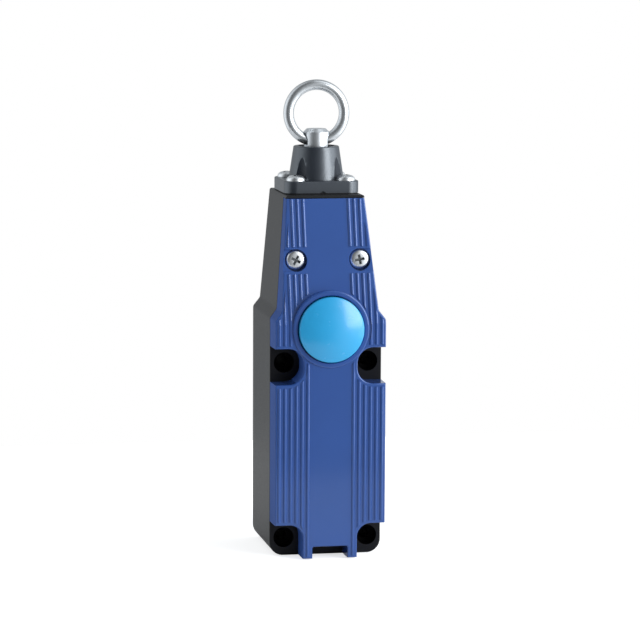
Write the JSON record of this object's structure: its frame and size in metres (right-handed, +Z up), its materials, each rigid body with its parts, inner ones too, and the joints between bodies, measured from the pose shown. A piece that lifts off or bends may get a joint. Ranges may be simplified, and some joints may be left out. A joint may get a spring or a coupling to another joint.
{
  "type": "rope pull switch",
  "caption": "Emergency rope pull switch: tapered moulded housing with a ribbed cover, domed reset button, sprung pull rod and towing ring on top, cable entry below.",
  "frame": {"origin": "centre of the four mounting holes, on the flat back face of the housing", "axes": "+X to the right seen from the front, +Y into the mounting surface, +Z up along the pull rod, the way the rope pulls"},
  "size_m": [0.0534, 0.0669, 0.2235],
  "materials": {
    "housing_plastic": "black glass-filled thermoplastic, lightly textured",
    "cover_plastic": "blue thermoplastic, satin",
    "turret_plastic": "dark grey thermoplastic, satin",
    "button_plastic": "light blue, glossy",
    "seal_rubber": "black, matte",
    "bearing_plastic": "natural acetal",
    "block_plastic": "dark grey moulded",
    "zinc_steel": "bright zinc plated",
    "rod_steel": "bright zinc plated, polished",
    "spring_steel": "drawn spring wire",
    "contact_brass": "stamped brass"
  },
  "bodies": {
    "housing": {"rear_housing": "housing_plastic", "front_cover": "cover_plastic", "cover_gasket": "seal_rubber", "cover_screws": "zinc_steel", "head_turret": "turret_plastic", "turret_gasket": "seal_rubber", "turret_screws": "zinc_steel", "guide_bush": "bearing_plastic", "wiper_seal": "seal_rubber", "spring_washer": "zinc_steel", "pull_spring": "spring_steel", "mechanism_frame": "zinc_steel", "frame_screws": "zinc_steel", "latch_pin": "spring_steel", "latch_spring": "spring_steel", "reset_spring": "spring_steel", "button_seal": "seal_rubber", "contact_block_left": "block_plastic", "contact_block_right": "block_plastic", "block_screws": "zinc_steel", "plunger_spring_left": "spring_steel", "plunger_spring_right": "spring_steel", "terminals": "contact_brass", "terminal_screws": "zinc_steel"},
    "rod": {"pull_rod": "rod_steel", "rod_clip": "spring_steel", "spring_cup": "zinc_steel", "cam_slider": "bearing_plastic", "slider_pin": "spring_steel"},
    "ring": {"pull_ring": "rod_steel"},
    "button": {"reset_button": "button_plastic", "button_clip": "spring_steel"},
    "latch": {"latch_lever": "bearing_plastic"},
    "plunger_left": {"contact_plunger_left": "bearing_plastic", "contact_bridge_left": "contact_brass"},
    "plunger_right": {"contact_plunger_right": "bearing_plastic", "contact_bridge_right": "contact_brass"}
  },
  "joints": [
    {"name": "rod_pull", "type": "slide", "parent": "housing", "child": "rod", "axis": [0, 0, 1], "range_m": [0, 0.016], "stiffness_N_per_m": 4000, "springref_m": -0.012, "deforming": ["pull_spring"]},
    {"name": "ring_swing", "type": "hinge", "parent": "rod", "child": "ring", "pos_m": [0, -0.0216, 0.1437], "axis": [1, 0, 0], "range_deg": [-58, 58]},
    {"name": "reset_press", "type": "slide", "parent": "housing", "child": "button", "axis": [0, 1, 0], "range_m": [0, 0.004], "stiffness_N_per_m": 1200, "springref_m": -0.003, "deforming": ["reset_spring", "latch_spring"]},
    {"name": "latch_turn", "type": "hinge", "parent": "housing", "child": "latch", "pos_m": [0, -0.0345, 0.0396], "axis": [-1, 0, 0], "range_deg": [0, 13.5]},
    {"name": "plunger_slide_left", "type": "slide", "parent": "housing", "child": "plunger_left", "axis": [1, 0, 0], "range_m": [0, 0.00257], "deforming": ["plunger_spring_left"]},
    {"name": "plunger_slide_right", "type": "slide", "parent": "housing", "child": "plunger_right", "axis": [1, 0, 0], "range_m": [0, 0.00257], "deforming": ["plunger_spring_right"]}
  ],
  "couplings": [
    {"joint": "latch_turn", "follows": "reset_press", "rad_per_m": 52.356},
    {"joint": "plunger_slide_left", "follows": "rod_pull", "ratio": 0.16},
    {"joint": "plunger_slide_right", "follows": "rod_pull", "ratio": 0.16}
  ]
}
